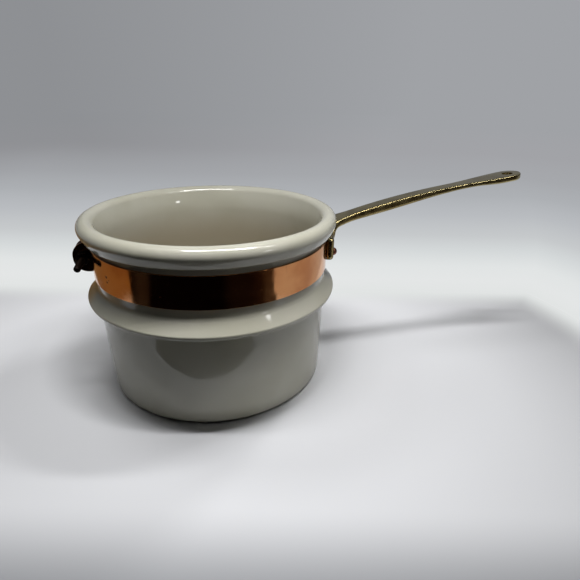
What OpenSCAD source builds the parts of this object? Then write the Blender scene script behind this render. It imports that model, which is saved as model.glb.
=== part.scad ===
// Porcelain saucepan with a copper band clamped round its neck and a cast brass handle.
// It stands on Z = 0 with its axis on Z. The handle points along +X, the band closes at -X.

/* [Porcelain body] */
// Diameter over the rolled rim
rim_d = 160; // [156:1:170]
// Height from the table to the top of the rim
body_h = 111; // [109:1:120]
// Radius of the rolled rim's section
rim_roll_r = 4.9; // [4:0.1:5.4]
// Height from the centre of the rim's roll down to the centre of its lower edge
skirt_h = 7.7; // [6.5:0.1:8.4]
// How far the rim's lower edge lies inside the rim's outside
skirt_inset = 3.2; // [2:0.1:3.6]
// Radius of the rim's lower edge
skirt_r = 1.5; // [1:0.1:2]
// How far the neck that carries the band lies inside the rim's outside
neck_inset = 6.8; // [6.2:0.1:8]
// Height of the neck between the flange and the rim's lower edge
neck_h = 21.9; // [16:0.1:26]
// Radius of the hollow between the neck and the rim
neck_fillet_r = 1.4; // [0.6:0.1:1.8]
// Thickness of the wall at the neck
wall_t = 5.2; // [4:0.1:7]
// How far the shoulder flange stands out from the neck
flange_out = 7; // [5.4:0.1:8.4]
// Radius of the flange's lower rounding
flange_low_r = 4.3; // [3:0.1:5]
// Radius of the flange's upper rounding
flange_top_r = 9; // [8:0.1:9.6]
// Straight height between the flange's roundings
flange_land = 4; // [2:0.1:4.5]
// How far the flange stands out beyond the lower wall
wall_inset = 6; // [5:0.1:7.5]
// How far the lower wall draws in from the flange down to the base
wall_taper = 1.9; // [0.5:0.1:4]
// Radius of the base's edge
base_edge_r = 1.6; // [0.8:0.1:3]
// Thickness of the wall above the floor
foot_wall_t = 5.4; // [4:0.1:7]
// Thickness of the floor
floor_t = 6.5; // [4:0.1:9]
// Radius inside, where the wall meets the floor
inner_corner_r = 9; // [4:0.5:14]

/* [Copper band] */
// Thickness of the copper strip
band_t = 1.2; // [0.8:0.1:1.6]
// Clearance between the band and the neck, on the radius
band_fit = 0.1; // [0.05:0.05:0.3]
// Gap between the band's lower edge and the flange
band_lift = 1; // [0.4:0.1:1.6]
// Gap between the band's upper edge and the rim's lower edge
band_drop = 1.9; // [1:0.1:3]
// Gap between the two ears
ear_gap = 6.8; // [4:0.1:8]
// How far the ears stand out from the band
ear_reach = 10.8; // [10:0.1:13]
// Radius of the ears' outer corners
ear_round_r = 8.5; // [4:0.1:9]
// Inner radius of the bends that turn the strip into the ears
bend_r = 1; // [0.6:0.1:1.4]

/* [Brass handle] */
// How far the handle's tip stands out beyond the rim
handle_l = 145.4; // [120:0.1:165]
// Angle that the foot covers round the band
foot_arc = 44; // [40:1:60]
// Thickness of the foot
foot_t = 4.7; // [3.5:0.1:5.5]
// Radius of the foot's outer edges
foot_edge_r = 1.8; // [0.8:0.1:2]
// Height of the foot's lower edge above the band's lower edge
foot_rise = 4.8; // [4:0.1:5.5]
// Gap between the foot's upper edge and the rim's lower edge
foot_drop = 1.5; // [1:0.1:3]
// Distance from the rim's outside to the start of the arm
root_gap = 4.5; // [4:0.1:7]
// Distance from the top of the rim down to the start of the arm
root_drop = 10.1; // [9:0.1:11]
// Radius of the bend at the root, on its inner side
root_r = 9; // [8:0.1:10]
// Steepness of the leg that climbs from the foot
leg_slope = 80; // [76:1:84]
// Height of the leg's lower end above the foot's lower edge
leg_rise = 2.7; // [1:0.1:5]
// Steepness of the arm where it leaves the root
root_slope = 17.2; // [14:0.1:20]
// Steepness of the arm at its end
tip_slope = 8.8; // [6:0.1:12]
// Radius of the arm's arch
arch_r = 552; // [400:1:700]
// Width of the leg at its lower end
leg_w = 24; // [20:0.1:28]
// Width of the arm at the bend
root_w = 16; // [14:0.1:18]
// Width of the arm beyond the root
neck_w = 11.5; // [10:0.1:13]
// Width of the arm at the waist
waist_w = 10.5; // [9:0.1:12]
// Width of the flared end
end_w = 17.8; // [14:0.1:20]
// Depth of the leg
leg_t = 4; // [3:0.1:5]
// Depth of the arm just beyond the bend
root_t = 5; // [4:0.1:6]
// Greatest depth of the grip
grip_t = 6.1; // [5:0.1:7]
// Depth at the waist
waist_t = 3.4; // [3:0.1:4.5]
// Depth of the flared end
end_t = 4.4; // [3.6:0.1:5]
// Bevel along the arm's upper edges
edge_bevel = 0.4; // [0.2:0.1:0.6]
// Sideways radius of the rounded belly
belly_r = 3.2; // [2:0.1:3.6]
// Diameter of the hanging hole
hang_d = 7.5; // [5:0.1:9]

/* [Rivets] */
// Distance from each end of the foot to its rivet, along the foot's outside
rivet_inset = 6.8; // [4:0.1:9]
// Height of the rivets above the foot's lower edge
rivet_rise = 4.1; // [3.4:0.1:6]
// Diameter of a rivet's shank
rivet_d = 3.2; // [2.4:0.1:3.4]
// Diameter of a rivet's dome
rivet_head_d = 5.2; // [4.6:0.1:6]
// Height of a rivet's dome
rivet_head_h = 2.3; // [1.4:0.1:2.5]
// Diameter of the flush head inside the band
rivet_flush_d = 4.7; // [4.2:0.1:5.4]
// Depth of the flush head
rivet_flush_h = 0.7; // [0.4:0.05:0.75]

/* [Clamp screw and nut] */
// Gap between the band's bend and the nut or washer, whichever is wider
screw_gap = 0.1; // [0.1:0.1:1]
// Diameter of the screw
screw_d = 4; // [3:0.1:4]
// Length of the screw under its head
screw_l = 30.7; // [24:0.1:34]
// Pitch of the screw's thread, one turn of the nut
screw_pitch = 0.7; // [0.5:0.05:0.8]
// Diameter of the screw's head
head_d = 7.6; // [6:0.1:8]
// Height of the screw's head
head_h = 2.8; // [2:0.1:3.4]
// Width of the slot in the head
slot_w = 1.1; // [0.8:0.1:1.4]
// Depth of the slot in the head
slot_h = 1.2; // [0.8:0.1:1.6]
// Diameter of the washer
washer_d = 8; // [7:0.1:8.2]
// Thickness of the washer
washer_t = 0.8; // [0.5:0.1:1.2]
// Width of the nut across its flats
nut_w = 7; // [6:0.1:7.4]
// Thickness of the nut
nut_t = 3.2; // [2:0.1:4]

/* [Hidden] */

// Overrun of cuts past a face, and lap of pieces that are joined into one
over = 1;
lap = 0.05;
// Clearance round shanks, and between faces that are drawn tight
hole_fit = 0.05;
seat_fit = 0.05;
// Clearance between faces that move apart
slide_fit = 0.1;
// Running clearance of the nut's bore
thread_fit = 0.08;
// Sides of a hexagon nut, and facets of the drawn curves
nut_sides = 6;
$fn = 120;
fine_fn = 48;

// Radii and heights of the porcelain that other pieces follow
rim_r = rim_d / 2;
neck_r = rim_r - neck_inset;
flange_r = neck_r + flange_out;
wall_top_r = flange_r - wall_inset;
base_r = wall_top_r - wall_taper;
roll_at = [rim_r - rim_roll_r, body_h - rim_roll_r];
skirt_at = [rim_r - skirt_inset - skirt_r, roll_at.y - skirt_h];
skirt_low_z = skirt_at.y - skirt_r;
flange_neck_z = skirt_low_z - neck_h;
flange_top_x = flange_r - flange_top_r;
flange_top_at = [flange_top_x,
                 flange_neck_z - sqrt(pow(flange_top_r, 2) - pow(neck_r - flange_top_x, 2))];
flange_low_at = [flange_r - flange_low_r, flange_top_at.y - flange_land];
flange_z = flange_low_at.y - flange_low_r;
inner_neck_r = neck_r - wall_t;
inner_base_r = base_r - foot_wall_t;

// The band's ring, its height and its bends
band_in_r = neck_r + band_fit;
band_out_r = band_in_r + band_t;
band_z = flange_neck_z + band_lift;
band_h = neck_h - band_lift - band_drop;
ear_face_y = ear_gap / 2 + band_t;
bend_y = ear_face_y + bend_r;
bend_x = sqrt(pow(band_out_r + bend_r, 2) - pow(bend_y, 2));
ear_end = band_out_r + ear_reach;

// Where the foot sits on the band, and the rivets in it
foot_in_r = band_out_r + seat_fit;
foot_out_r = foot_in_r + foot_t;
foot_z = band_z + foot_rise;
foot_h = skirt_low_z - foot_drop - foot_z;
rivet_z = foot_z + rivet_rise;
rivet_angle = foot_arc / 2 - rivet_inset / foot_out_r * 180 / PI;

// The nut's corners, and the screw's axis
nut_corner_d = nut_w / cos(180 / nut_sides);
screw_reach = bend_x + max(washer_d, nut_corner_d) / 2 + screw_gap;
screw_z = band_z + band_h / 2;

// Smooth step from 0 to 1, and a value that steps smoothly through a table of [share, value]
function smooth(t) = let (c = min(max(t, 0), 1)) c * c * (3 - 2 * c);
function through(table, u, i = 0) =
    i >= len(table) - 2 || u < table[i + 1][0]
        ? let (a = table[i], b = table[min(i + 1, len(table) - 1)])
          a[1] + (b[1] - a[1]) * smooth((u - a[0]) / (b[0] - a[0]))
        : through(table, u, i + 1);

// The line along the arm's upper face, in the plane Y = 0, as [x, z, slope]
root_at = [rim_r + root_gap, body_h - root_drop];
root_centre = root_at + root_r * [sin(root_slope), -cos(root_slope)];
arch_centre = root_at + arch_r * [sin(root_slope), -cos(root_slope)];
arch_end = arch_centre + arch_r * [-sin(tip_slope), cos(tip_slope)];
leg_top = root_centre + root_r * [-sin(leg_slope), cos(leg_slope)];
leg_l = (leg_top.y - foot_z - leg_rise) / sin(leg_slope);
leg_steps = 5;
bend_steps = 8;
arch_steps = 16;
straight_steps = 8;
tip_steps = 9;
tip_angle = 84;
tip_r = end_w / 2;
handle_reach = rim_r + handle_l;
tip_x = handle_reach - tip_r;

function line_at_x(x) =
    x < arch_end.x
        ? let (a = asin((arch_centre.x - x) / arch_r)) [x, arch_centre.y + arch_r * cos(a), a]
        : [x, arch_end.y + (x - arch_end.x) * tan(tip_slope), tip_slope];

// Widths and depths of the arm by the share of its reach
root_flare_share = 0.1;
width_shares = [[root_flare_share, neck_w], [0.54, waist_w], [0.61, waist_w], [0.92, end_w]];
depth_shares = [[0, root_t], [0.26, grip_t], [0.74, waist_t], [0.87, end_t]];
side_share = 0.42;
belly_share = 0.6;
tip_depth_share = 0.35;
leg_low_share = 0.4;

function arm_share(x) = (x - root_at.x) / (handle_reach - root_at.x);
function arm_width(x) =
    let (u = arm_share(x))
    u < root_flare_share
        ? neck_w + (root_w - neck_w) * pow(1 - u / root_flare_share, 2)
        : through(width_shares, u);

// One station is [x, z, slope, width, depth]
function leg_station(t) =
    let (p = leg_top - (1 - t) * leg_l * [cos(leg_slope), sin(leg_slope)])
    [p.x, p.y, leg_slope, leg_w + (bend_leg_w - leg_w) * t,
     leg_t * (leg_low_share + (1 - leg_low_share) * sin(90 * t))];
bend_leg_w = (leg_w + root_w) / 2;
function bend_station(t) =
    let (a = leg_slope + (root_slope - leg_slope) * t,
         p = root_centre + root_r * [-sin(a), cos(a)])
    [p.x, p.y, a, bend_leg_w + (root_w - bend_leg_w) * t, leg_t + (root_t - leg_t) * t];
function arm_station(x) =
    let (p = line_at_x(x)) [p.x, p.y, p.z, arm_width(x), through(depth_shares, arm_share(x))];
// The tip's rounding follows a circle of the flared end's width
function tip_station(a) =
    let (x = tip_x + tip_r * sin(a), s = arm_station(x), e = cos(a))
    [s[0], s[1], s[2], end_w * e, s[4] * (1 - tip_depth_share * (1 - sqrt(e)))];

stations = concat(
    [for (i = [0:leg_steps - 1]) leg_station(i / leg_steps)],
    [for (i = [0:bend_steps - 1]) bend_station(i / bend_steps)],
    [for (i = [0:arch_steps - 1]) arm_station(root_at.x + (arch_end.x - root_at.x) * i / arch_steps)],
    [for (i = [0:straight_steps - 1]) arm_station(arch_end.x + (tip_x - arch_end.x) * i / straight_steps)],
    [for (i = [0:tip_steps - 1]) tip_station(tip_angle * i / (tip_steps - 1))]);

// Half of the arm's section, from the upper edge round to the belly, as [sideways, down]
belly_steps = 4;
function half_section(w, d) =
    let (h = w / 2, b = min(edge_bevel, h / 4), r = min(belly_r, h * belly_share), s = d * side_share)
    concat([[h - b, 0], [h, b], [h, s]],
           [for (i = [1:belly_steps]) let (a = 90 * i / belly_steps)
               [h - r * (1 - cos(a)), s + (d - s) * sin(a)]]);
function full_section(w, d) =
    let (half = half_section(w, d), n = len(half))
    concat(half, [for (i = [n - 1:-1:0]) [-half[i].x, half[i].y]]);
function station_ring(s) =
    [for (q = full_section(s[3], s[4])) [s[0] + q.y * sin(s[2]), q.x, s[1] - q.y * cos(s[2])]];

// A point on the circle of a tangent that two circles share on their right side
function tangent_angle(a, b, ra, rb) =
    let (d = a - b) atan2(d.y, d.x) - acos((rb - ra) / norm(d));

// Section of the porcelain without its hollow
module porcelain_outline() {
    edge_at = [base_r - base_edge_r, base_edge_r];
    turn = tangent_angle(roll_at, skirt_at, rim_roll_r, skirt_r);
    side = [cos(turn), sin(turn)];
    fillet_r = min(neck_fillet_r, skirt_at.x - neck_r);
    polygon([[0, 0], [edge_at.x, 0], edge_at, [base_r, base_edge_r], [wall_top_r, flange_low_at.y],
             [0, flange_low_at.y]]);
    translate(edge_at) circle(r = base_edge_r);
    translate([0, flange_z]) square([flange_low_at.x, flange_low_r]);
    translate(flange_low_at) circle(r = flange_low_r);
    translate([0, flange_low_at.y]) square([flange_r, flange_land]);
    translate(flange_top_at) circle(r = flange_top_r);
    translate([0, flange_top_at.y]) square([neck_r, roll_at.y - flange_top_at.y]);
    polygon([[0, skirt_low_z], [skirt_at.x, skirt_low_z], skirt_at, skirt_at + skirt_r * side,
             roll_at + rim_roll_r * side, roll_at, [0, roll_at.y]]);
    translate(skirt_at) circle(r = skirt_r);
    difference() {
        translate([neck_r - lap, skirt_low_z - fillet_r]) square(fillet_r + lap);
        translate([neck_r + fillet_r, skirt_low_z - fillet_r]) circle(r = fillet_r);
    }
}

// Section of the hollow inside, open at the top up to the middle of the rim's roll
module hollow_outline() {
    corner_at = [inner_base_r - inner_corner_r, floor_t + inner_corner_r];
    flare_z = skirt_at.y;
    reach = roll_at - [inner_neck_r, flare_z];
    lean = atan2(reach.y, reach.x) + asin(rim_roll_r / norm(reach));
    touch_l = sqrt(pow(norm(reach), 2) - pow(rim_roll_r, 2));
    touch = [inner_neck_r, flare_z] + touch_l * [cos(lean), sin(lean)];
    translate(corner_at) circle(r = inner_corner_r);
    translate([0, floor_t]) square([corner_at.x, inner_corner_r]);
    polygon([[0, corner_at.y], [inner_base_r, corner_at.y], [inner_neck_r, flare_z], touch, roll_at,
             [roll_at.x, body_h + over], [0, body_h + over]]);
}

// The vessel: one revolved wall, with the rim's roll added after the hollow is cut
module porcelain_body() {
    color("gainsboro") rotate_extrude() {
        difference() {
            porcelain_outline();
            hollow_outline();
        }
        translate(roll_at) circle(r = rim_roll_r);
    }
}

// Top view of a disc with a tab at -X, and fillets of corner_r in the corners between them
module band_plan(disc_r, tab_y, tab_reach, corner_r) {
    circle(r = disc_r);
    translate([-tab_reach, -tab_y]) square([tab_reach, 2 * tab_y]);
    difference() {
        polygon([[-bend_x, bend_y], [-bend_x, -bend_y], [0, 0]]);
        for (y = [-bend_y, bend_y]) translate([-bend_x, y]) circle(r = corner_r);
    }
}

// What is taken off the ears' lower corners to round them, reaching past both ears
module ear_corner() {
    at = [-ear_end, 0];
    rotate([90, 0, 0]) linear_extrude(height = 2 * (ear_face_y + over), center = true) difference() {
        translate(at - [over, over]) square(ear_round_r + over);
        translate(at + [ear_round_r, ear_round_r]) circle(r = ear_round_r);
    }
}

// Moves to a rivet, with Z along its shank and Z = 0 on the pan's axis
module at_rivet(side) {
    translate([0, 0, rivet_z]) rotate([0, 0, side * rivet_angle]) rotate([0, 90, 0]) children();
}

// Moves to the screw's axis, with Z pointing from its head to its end, and Z = 0 between the ears
module at_screw() {
    translate([-screw_reach, 0, screw_z]) rotate([90, 0, 0]) children();
}

module copper_band() {
    flush_fit = 2 * hole_fit;
    color("darkorange") difference() {
        translate([0, 0, band_z]) linear_extrude(height = band_h) difference() {
            band_plan(band_out_r, ear_face_y, ear_end, bend_r);
            band_plan(band_in_r, ear_gap / 2, ear_end + over, bend_r + band_t);
        }
        translate([0, 0, band_z]) ear_corner();
        translate([0, 0, band_z + band_h]) mirror([0, 0, 1]) ear_corner();
        at_screw() translate([0, 0, -ear_face_y - over])
            cylinder(d = screw_d + 2 * hole_fit, h = 2 * (ear_face_y + over), $fn = fine_fn);
        for (side = [-1, 1]) at_rivet(side) {
            translate([0, 0, band_in_r - over])
                cylinder(d = rivet_d + 2 * hole_fit, h = band_t + 2 * over, $fn = fine_fn);
            translate([0, 0, band_in_r]) cylinder(d1 = rivet_flush_d + flush_fit,
                d2 = rivet_d + flush_fit, h = rivet_flush_h + hole_fit, $fn = fine_fn);
            translate([0, 0, band_in_r - over])
                cylinder(d = rivet_flush_d + flush_fit, h = over + lap, $fn = fine_fn);
        }
    }
}

// The arm and its leg: one lofted skin through the stations
module arm() {
    rings = [for (s = stations) station_ring(s)];
    n = len(rings[0]);
    end = n * (len(rings) - 1);
    points = [for (r = rings) for (p = r) p];
    walls = [for (i = [0:n:end - 1]) for (j = [0:n - 1])
        let (a = i + j, b = i + (j + 1) % n) each [[a, b + n, a + n], [a, b, b + n]]];
    caps = [for (j = [1:n - 2]) each [[0, j + 1, j], [end, end + j, end + j + 1]]];
    polyhedron(points = points, faces = concat(walls, caps));
}

// The casting: a curved foot on the band, the bent root, the arm and its hanging hole
module brass_handle() {
    hang = line_at_x(tip_x);
    color("darkkhaki") difference() {
        union() {
            rotate([0, 0, -foot_arc / 2]) rotate_extrude(angle = foot_arc)
                translate([foot_in_r, foot_z]) {
                    square([foot_t - foot_edge_r, foot_h]);
                    translate([0, foot_edge_r]) square([foot_t, foot_h - 2 * foot_edge_r]);
                    for (z = [foot_edge_r, foot_h - foot_edge_r])
                        translate([foot_t - foot_edge_r, z]) circle(r = foot_edge_r);
                }
            difference() {
                arm();
                translate([0, 0, foot_z]) cylinder(r = foot_in_r + lap, h = foot_h);
            }
        }
        translate([hang.x, 0, hang.y]) rotate([0, -hang.z, 0])
            translate([0, 0, -end_t - over]) cylinder(d = hang_d, h = end_t + 2 * over, $fn = fine_fn);
        for (side = [-1, 1]) at_rivet(side) translate([0, 0, foot_in_r - over])
            cylinder(d = rivet_d + 2 * hole_fit, h = foot_t + 2 * over, $fn = fine_fn);
    }
}

// A solid of revolution that rises from Z = 0 to a rounded top
module dome(d, h) {
    r = (pow(d / 2, 2) + pow(h, 2)) / (2 * h);
    rotate_extrude($fn = fine_fn) intersection() {
        translate([0, h - r]) circle(r = r);
        square([d / 2, h]);
    }
}

// A rivet: flush head inside the band, shank through band and foot, domed head outside
module rivet(side) {
    start = band_in_r + hole_fit;
    color("peru") at_rivet(side) {
        translate([0, 0, start]) cylinder(d = rivet_d, h = foot_out_r - start + lap, $fn = fine_fn);
        translate([0, 0, start])
            cylinder(d1 = rivet_flush_d, d2 = rivet_d, h = rivet_flush_h, $fn = fine_fn);
        translate([0, 0, foot_out_r]) dome(rivet_head_d, rivet_head_h);
    }
}

module handle_rivet_front() {
    rivet(-1);
}

module handle_rivet_back() {
    rivet(1);
}

// The screw: slotted head against the ear at +Y, plain shank with a chamfered end
module clamp_screw() {
    seat = ear_face_y + seat_fit;
    chamfer = screw_pitch;
    color("dimgray") at_screw() translate([0, 0, -seat]) {
        cylinder(d = screw_d, h = screw_l - chamfer, $fn = fine_fn);
        translate([0, 0, screw_l - chamfer])
            cylinder(d1 = screw_d, d2 = screw_d - 2 * chamfer, h = chamfer, $fn = fine_fn);
        difference() {
            translate([0, 0, lap]) rotate([180, 0, 0]) dome(head_d, head_h + lap);
            translate([-head_d, -slot_w / 2, -head_h - over]) cube([2 * head_d, slot_w, slot_h + over]);
        }
    }
}

module clamp_washer() {
    color("silver") at_screw() translate([0, 0, ear_face_y + slide_fit]) difference() {
        cylinder(d = washer_d, h = washer_t, $fn = fine_fn);
        translate([0, 0, -over]) cylinder(d = screw_d + 2 * thread_fit, h = washer_t + 2 * over, $fn = fine_fn);
    }
}

// The nut: a hexagonal prism with its corners turned off on both faces
module clamp_nut() {
    crown = (nut_corner_d - nut_w) / 2;
    color("slategray") at_screw() translate([0, 0, ear_face_y + 2 * slide_fit + washer_t]) difference() {
        intersection() {
            cylinder(d = nut_corner_d, h = nut_t, $fn = nut_sides);
            rotate_extrude($fn = fine_fn) polygon([[0, 0], [nut_w / 2, 0], [nut_corner_d / 2, crown],
                [nut_corner_d / 2, nut_t - crown], [nut_w / 2, nut_t], [0, nut_t]]);
        }
        translate([0, 0, -over]) cylinder(d = screw_d + 2 * thread_fit, h = nut_t + 2 * over, $fn = fine_fn);
    }
}

porcelain_body();
copper_band();
brass_handle();
handle_rivet_front();
handle_rivet_back();
clamp_screw();
clamp_washer();
clamp_nut();
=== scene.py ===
# %% [markdown]
# # A glazed porcelain saucepan with a copper band and a brass handle
# The pan is an insert for a double boiler: one thick porcelain wall, a copper strip that is
# clamped round its neck by a screw, and a cast brass handle that two rivets hold on the strip.
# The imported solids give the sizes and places. This file dresses them, piece by piece, and
# lights them.

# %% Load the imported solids
import math

import bmesh
import bpy
from mathutils import Matrix, Vector, noise


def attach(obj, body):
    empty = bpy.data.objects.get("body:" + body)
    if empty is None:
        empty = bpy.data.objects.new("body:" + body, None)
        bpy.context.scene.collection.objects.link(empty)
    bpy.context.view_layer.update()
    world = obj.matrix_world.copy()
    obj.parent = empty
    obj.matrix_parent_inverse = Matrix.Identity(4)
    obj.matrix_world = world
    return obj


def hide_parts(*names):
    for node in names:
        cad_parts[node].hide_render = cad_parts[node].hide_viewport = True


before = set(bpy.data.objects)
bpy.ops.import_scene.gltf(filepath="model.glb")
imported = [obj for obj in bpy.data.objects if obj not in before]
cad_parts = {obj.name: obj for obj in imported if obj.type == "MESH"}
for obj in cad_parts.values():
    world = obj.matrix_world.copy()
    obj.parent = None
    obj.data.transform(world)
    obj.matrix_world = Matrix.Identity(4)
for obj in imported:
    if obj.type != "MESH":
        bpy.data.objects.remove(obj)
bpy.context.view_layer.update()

# %% [markdown]
# ## Working in millimetres
# A kitchenware drawing is in millimetres, and Blender's scene is in metres. Each mesh is
# modelled in millimetres and shrunk once, when it becomes a piece. Every piece is then placed
# in its mesh, so that its object stays at the origin and patterns on Object coordinates stay put.

# %% Make a piece from a finished bmesh
MM = 0.001
SHARP = math.radians(32)


def piece(bm, name, material, body, node):
    """Turns a bmesh in millimetres into a piece that rides on a body and replaces a node."""
    bmesh.ops.scale(bm, vec=(MM, MM, MM), verts=bm.verts)
    mesh = bpy.data.meshes.new(name)
    bm.to_mesh(mesh)
    bm.free()
    mesh.materials.append(material)
    mesh.polygons.foreach_set("use_smooth", [True] * len(mesh.polygons))
    mesh.set_sharp_from_angle(angle=SHARP)
    obj = bpy.data.objects.new(name, mesh)
    bpy.context.scene.collection.objects.link(obj)
    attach(obj, body)
    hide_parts(node)
    print(f"{name}: {len(mesh.polygons)} faces, {[round(x / MM, 1) for x in obj.dimensions]} mm")
    return obj


# %% [markdown]
# ## The camera
# The three ellipses of the pan, its rim, shoulder and foot, fix where the photograph was taken
# from: a hand-held lens 33 cm away, 24 degrees above the table, tilted sideways by one degree.
# A camera could be aimed with a constraint, but the tilt is easier to give as a turned matrix.

# %% Place the camera
YAW, PITCH, ROLL = (math.radians(a) for a in (14.55, 24.46, 0.96))
CAMERA_AT = Vector((-19.49, -278.65, 179.73))
SENSOR_WIDE, LENS_LONG = 36, 27.06
forward = Vector((math.sin(YAW) * math.cos(PITCH), math.cos(YAW) * math.cos(PITCH), -math.sin(PITCH)))
level = forward.cross(Vector((0, 0, 1))).normalized()
upright = level.cross(forward)
across = level * math.cos(ROLL) + upright * math.sin(ROLL)
up = upright * math.cos(ROLL) - level * math.sin(ROLL)
lens = bpy.data.cameras.new("photograph")
lens.sensor_width, lens.lens, lens.clip_start = SENSOR_WIDE, LENS_LONG, 10 * MM
camera = bpy.data.objects.new("photograph", lens)
turned = Matrix((across, up, -forward)).transposed().to_4x4()
camera.matrix_world = Matrix.Translation(CAMERA_AT * MM) @ turned
bpy.context.scene.collection.objects.link(camera)
bpy.context.scene.camera = camera
bpy.context.scene.view_settings.view_transform = "Standard"
print("camera at", camera.location, "lens", lens.lens)

# %% [markdown]
# ## Finishes
# Colours are written as they look on a screen, in hex, because that is how a colour is picked
# from a reference. A shader works with linear light, so one function turns one into the other.


# %% Turn a screen colour into light
def linear(hex_colour):
    """An sRGB hex colour as linear red, green, blue and alpha."""
    values = [int(hex_colour[i:i + 2], 16) / 255 for i in (1, 3, 5)]
    return [v / 12.92 if v <= 0.04045 else ((v + 0.055) / 1.055) ** 2.4 for v in values] + [1]


print("middle grey on a screen is", round(linear("#808080")[0], 3), "of white in light")

# %% [markdown]
# A finish is a small network of nodes. One function adds a node, and its inputs are values, or
# the nodes that feed them, so a finish reads from top to bottom as it would be built by hand.
# Each finish measures in millimetres from the piece's own coordinates, so that every pattern
# has a real size.


# %% Add nodes and start a finish
def feed(tree, node, inputs):
    """Sets a node's inputs, or links them to the node or the output that feeds them."""
    for socket, value in inputs.items():
        if isinstance(value, bpy.types.Node):
            value = next(output for output in value.outputs if output.enabled)
        if isinstance(value, bpy.types.NodeSocket):
            tree.links.new(value, node.inputs[socket])
        else:
            node.inputs[socket].default_value = value
    return node


def add(tree, kind, inputs=None, **settings):
    """Adds a shader node with its settings, and feeds it."""
    node = tree.nodes.new("ShaderNode" + kind)
    for name, value in settings.items():
        setattr(node, name, value)
    return feed(tree, node, inputs or {})


def new_finish(name, **shader):
    """A material with its shader, and the piece's coordinates in millimetres."""
    material = bpy.data.materials.new(name)
    material.use_nodes = True
    tree = material.node_tree
    surface = tree.nodes["Principled BSDF"]
    feed(tree, surface, {socket.replace("_", " "): value for socket, value in shader.items()})
    coordinates = add(tree, "TexCoord")
    in_mm = add(tree, "Mapping", {0: coordinates.outputs["Object"], "Scale": (1000, 1000, 1000)})
    return material, tree, surface, in_mm


# Map Range with soft ends: input 0 goes from between inputs 1 and 2 to between inputs 3 and 4
SOFT = {"interpolation_type": "SMOOTHSTEP"}
# Mix of two colours, inputs 6 and 7, by the share in input 0
COLOUR = {"data_type": "RGBA"}
print("patterns are drawn in units of", MM, "m")

# %% [markdown]
# ## Glazed porcelain
# The wall is hotel-ware porcelain under a clear fired glaze. The body's warm grey shows through,
# a shade uneven, with a few iron specks. The inside is painted with shade: a brown that darkens
# the glaze within the rim and deepens downwards. A painted picture could hold all this, but
# noise in the piece's own space needs no unwrapping.

# %% Finish: clear-glazed grey porcelain, its colour
glaze, tree, surface, mm = new_finish("clear_glazed_grey_porcelain", IOR=1.52)
uneven = add(tree, "TexNoise", {"Vector": mm, "Scale": 1 / 38, "Detail": 2})
uneven = add(tree, "MapRange", {0: uneven, 1: 0.35, 2: 0.65}, **SOFT)
shade = add(tree, "Mix", {0: uneven, 6: linear("#afada0"), 7: linear("#a8a697")}, **COLOUR)
# Iron specks in the clay, 0.3 to 0.6 mm across, in a few of the cells, which are 7 mm wide
cells = add(tree, "TexVoronoi", {"Vector": mm, "Scale": 1 / 7}, feature="F1")
rare = add(tree, "MapRange", {0: cells.outputs["Color"], 1: 0.80, 2: 0.81}, **SOFT)
dot = add(tree, "MapRange", {0: cells.outputs["Distance"], 1: 0.020, 2: 0.045, 3: 1, 4: 0}, **SOFT)
specks = add(tree, "Math", {0: rare, 1: dot}, operation="MULTIPLY")
# Painted shade: the inside darkens to a brown from within the rim and deepens downwards
flat = add(tree, "VectorMath", {0: mm, 1: (1, 1, 0)}, operation="MULTIPLY")
radius = add(tree, "VectorMath", {0: flat}, operation="LENGTH")
within = add(tree, "MapRange", {0: radius, 1: 71, 2: 69.5}, **SOFT)
height = add(tree, "SeparateXYZ", {0: mm}).outputs["Z"]
painted_shade_depth = add(tree, "MapRange", {0: height, 1: 106, 2: 70, 3: 0, 4: 0.85}, **SOFT)
painted_inside_shade = add(tree, "Math", {0: within, 1: painted_shade_depth}, operation="MULTIPLY")
shade = add(tree, "Mix", {0: painted_inside_shade, 6: shade, 7: linear("#8f8570")}, **COLOUR)
shade = add(tree, "Mix", {0: specks, 6: shade, 7: linear("#80745c")}, **COLOUR)
print("glaze colour nodes", len(tree.nodes))

# %% [markdown]
# The glaze is glass, so it reflects sharply. Where it pooled while molten it lies in very
# shallow waves, 16 mm long and 0.05 mm deep, that bend the reflections of the lamps.

# %% Finish: clear-glazed grey porcelain, its surface
hazy = add(tree, "TexNoise", {"Vector": mm, "Scale": 1 / 11, "Detail": 3})
hazy = add(tree, "MapRange", {0: hazy, 1: 0.3, 2: 0.7, 3: 0.05, 4: 0.09}, **SOFT)
waves = add(tree, "TexNoise", {"Vector": mm, "Scale": 1 / 16, "Detail": 1})
waves = add(tree, "Bump", {"Height": waves, "Distance": 0.05 * MM})
skin = add(tree, "TexNoise", {"Vector": mm, "Scale": 1 / 2.4, "Detail": 1})
skin = add(tree, "Bump", {"Height": skin, "Distance": 0.002 * MM, "Normal": waves})
feed(tree, surface, {"Base Color": shade, "Roughness": hazy, "Normal": skin})
print("glaze nodes", len(tree.nodes))

# %% [markdown]
# ## Polished copper
# The strip is rolled sheet, buffed to a mirror and then left in a kitchen: the metal has
# deepened from pink to orange, a faint stain runs down it, and small brown spots sit where
# drops have dried. Spots come from the cells of a Voronoi texture, of which few are used.

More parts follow.
